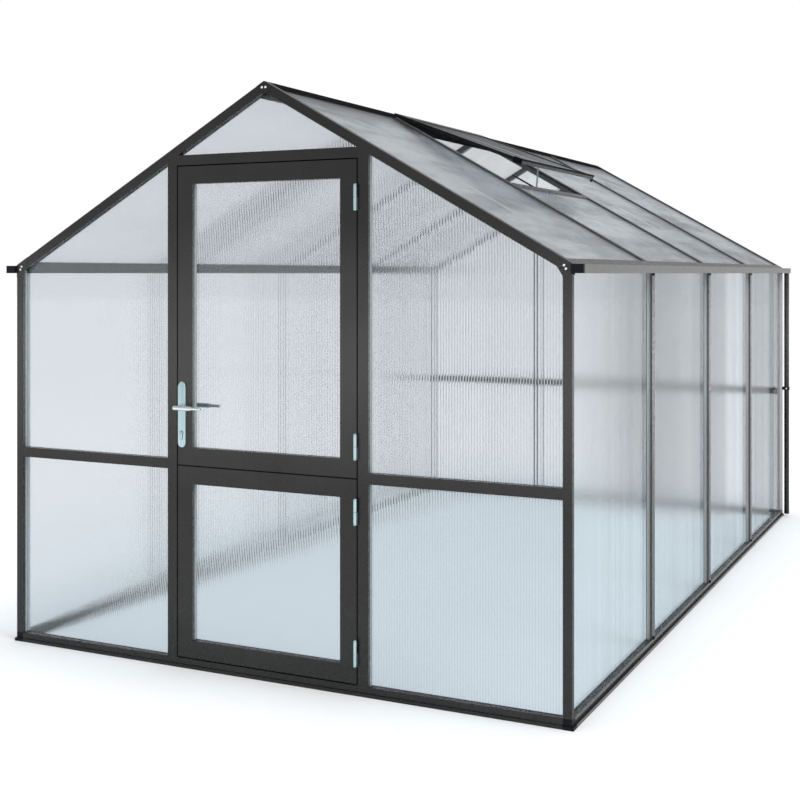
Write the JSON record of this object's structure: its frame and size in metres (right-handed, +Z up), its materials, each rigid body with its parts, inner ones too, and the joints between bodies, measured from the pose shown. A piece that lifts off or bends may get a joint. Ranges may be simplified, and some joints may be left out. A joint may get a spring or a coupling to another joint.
{
  "type": "greenhouse",
  "caption": "Walk-in greenhouse with a dark metal frame, twin-wall polycarbonate sheets, a split stable door, a raised roof vent, gutters and downpipes.",
  "frame": {"origin": "centre of the bounding box's underside, on the ground in the middle of the house", "axes": "+X to the right when facing the door, +Y from the door into the house, +Z up"},
  "size_m": [2.597, 4.4765, 2.338],
  "materials": {
    "frame": "satin dark grey powder coat",
    "gutter": "satin mid-grey powder coat",
    "sheet": "glossy clear twin-wall polycarbonate with upright flutes",
    "black_plastic": "matt black moulded plastic",
    "steel": "satin silver"
  },
  "bodies": {
    "house": {"base_ends": "frame", "base_sides": "frame", "base_corners": "black_plastic", "corner_posts": "frame", "wall_bars_left": "frame", "wall_bars_right": "frame", "eave_beams": "frame", "gutters": "gutter", "gutter_caps": "black_plastic", "ridge_beam": "frame", "front_rafters": "frame", "back_rafters": "frame", "joint_plates": "frame", "roof_bars_left": "frame", "roof_bars_right": "frame", "door_jambs": "frame", "front_rails": "frame", "back_posts": "frame", "back_rails": "frame", "front_sheets": "sheet", "back_sheets": "sheet", "left_sheets": "sheet", "right_sheets": "sheet", "left_roof_sheets": "sheet", "right_roof_sheets": "sheet", "vent_sill": "frame", "vent_stiles": "frame", "vent_rails": "frame", "vent_sheet": "sheet", "vent_arm": "frame", "vent_stay": "steel", "frame_hinges": "steel", "downpipes": "black_plastic", "pipe_brackets": "black_plastic"},
    "upper_leaf": {"upper_stiles": "frame", "upper_rails": "frame", "upper_sheet": "sheet", "upper_hinges": "steel", "handle_plates": "steel", "lock_cylinder": "steel"},
    "lower_leaf": {"lower_stiles": "frame", "lower_rails": "frame", "lower_sheet": "sheet", "lower_hinges": "steel"},
    "lever": {"door_lever": "steel"}
  },
  "joints": [
    {"name": "upper_door_hinge", "type": "hinge", "parent": "house", "child": "upper_leaf", "pos_m": [0.4075, -2.202, 1.4], "axis": [0, 0, 1], "range_deg": [0, 110]},
    {"name": "lower_door_hinge", "type": "hinge", "parent": "house", "child": "lower_leaf", "pos_m": [0.4075, -2.202, 0.43], "axis": [0, 0, 1], "range_deg": [0, 110]},
    {"name": "lever_turn", "type": "hinge", "parent": "upper_leaf", "child": "lever", "pos_m": [-0.385, -2.19, 1.05], "axis": [0, 1, 0], "range_deg": [0, 40], "stiffness_Nm_per_rad": 1, "springref_deg": -28.65}
  ]
}
